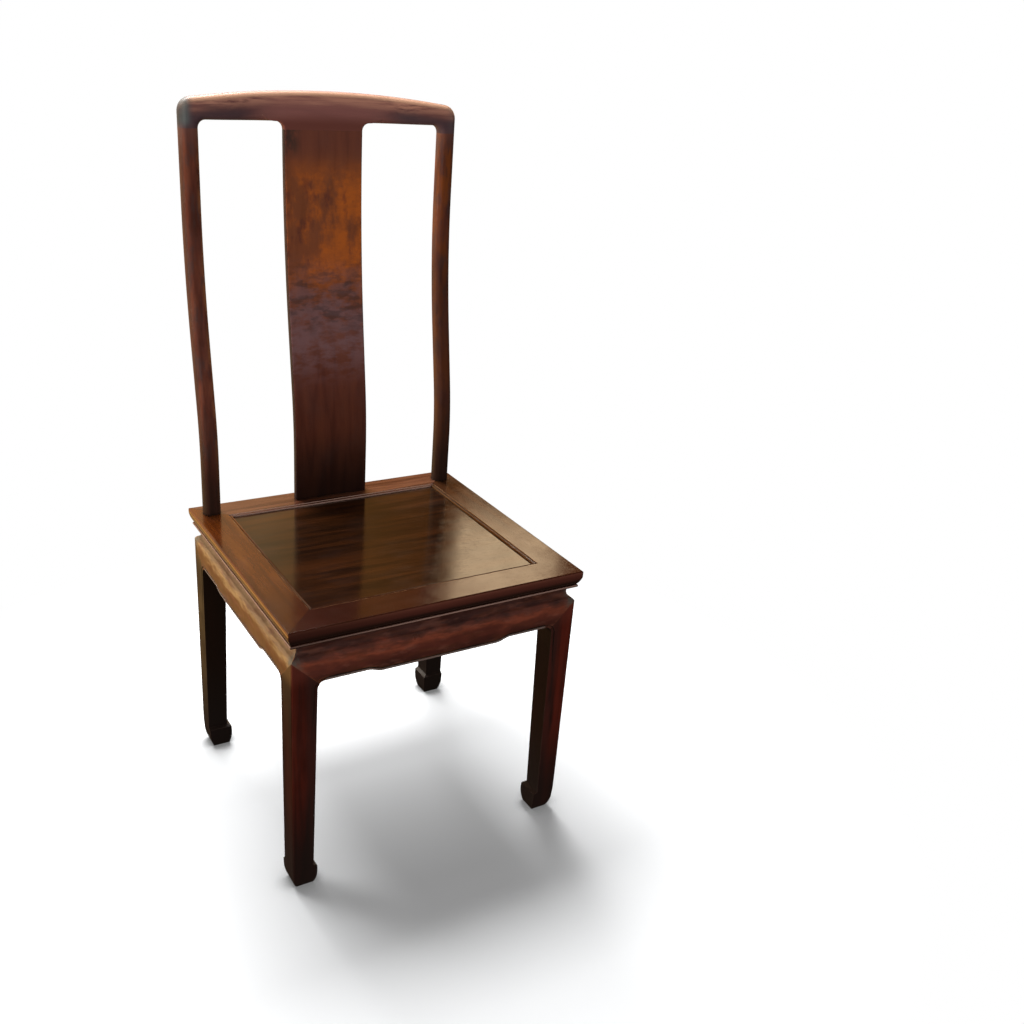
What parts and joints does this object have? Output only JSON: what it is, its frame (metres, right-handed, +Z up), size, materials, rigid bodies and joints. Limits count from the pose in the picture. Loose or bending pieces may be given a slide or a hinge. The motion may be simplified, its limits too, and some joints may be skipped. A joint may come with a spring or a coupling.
{
  "type": "official hat chair",
  "caption": "Armless waisted side chair with a curved plain splat, bowed crest rail, framed panel seat, shaped aprons and horse-hoof feet.",
  "frame": {"origin": "on the floor, under the middle of the chair's plan box", "axes": "+Z up, sitter faces -Y, +X to the sitter's left; left and right in node names are as seen from the front"},
  "size_m": [0.5, 0.498, 1.139],
  "materials": {
    "back_wood": "dark red-brown rosewood, hand-rubbed and worn bright along the top",
    "splat_wood": "rosewood board with cloudy dark figure, satin polish",
    "seat_wood": "rosewood, polished by use",
    "panel_wood": "rosewood board, glossy wax polish",
    "apron_wood": "rosewood, satin polish",
    "leg_wood": "dark rosewood, satin polish",
    "hidden_wood": "unpolished rosewood"
  },
  "bodies": {
    "root": {"crest_rail": "back_wood", "left_back_post": "back_wood", "right_back_post": "back_wood", "splat": "splat_wood", "seat_frame_front": "seat_wood", "seat_frame_rear": "seat_wood", "seat_frame_left": "seat_wood", "seat_frame_right": "seat_wood", "seat_panel": "panel_wood", "apron_front": "apron_wood", "apron_rear": "apron_wood", "apron_left": "apron_wood", "apron_right": "apron_wood", "front_left_leg": "leg_wood", "front_right_leg": "leg_wood", "rear_left_leg": "leg_wood", "rear_right_leg": "leg_wood", "left_batten": "hidden_wood", "right_batten": "hidden_wood", "apron_loose_tenons": "hidden_wood"}
  },
  "joints": []
}
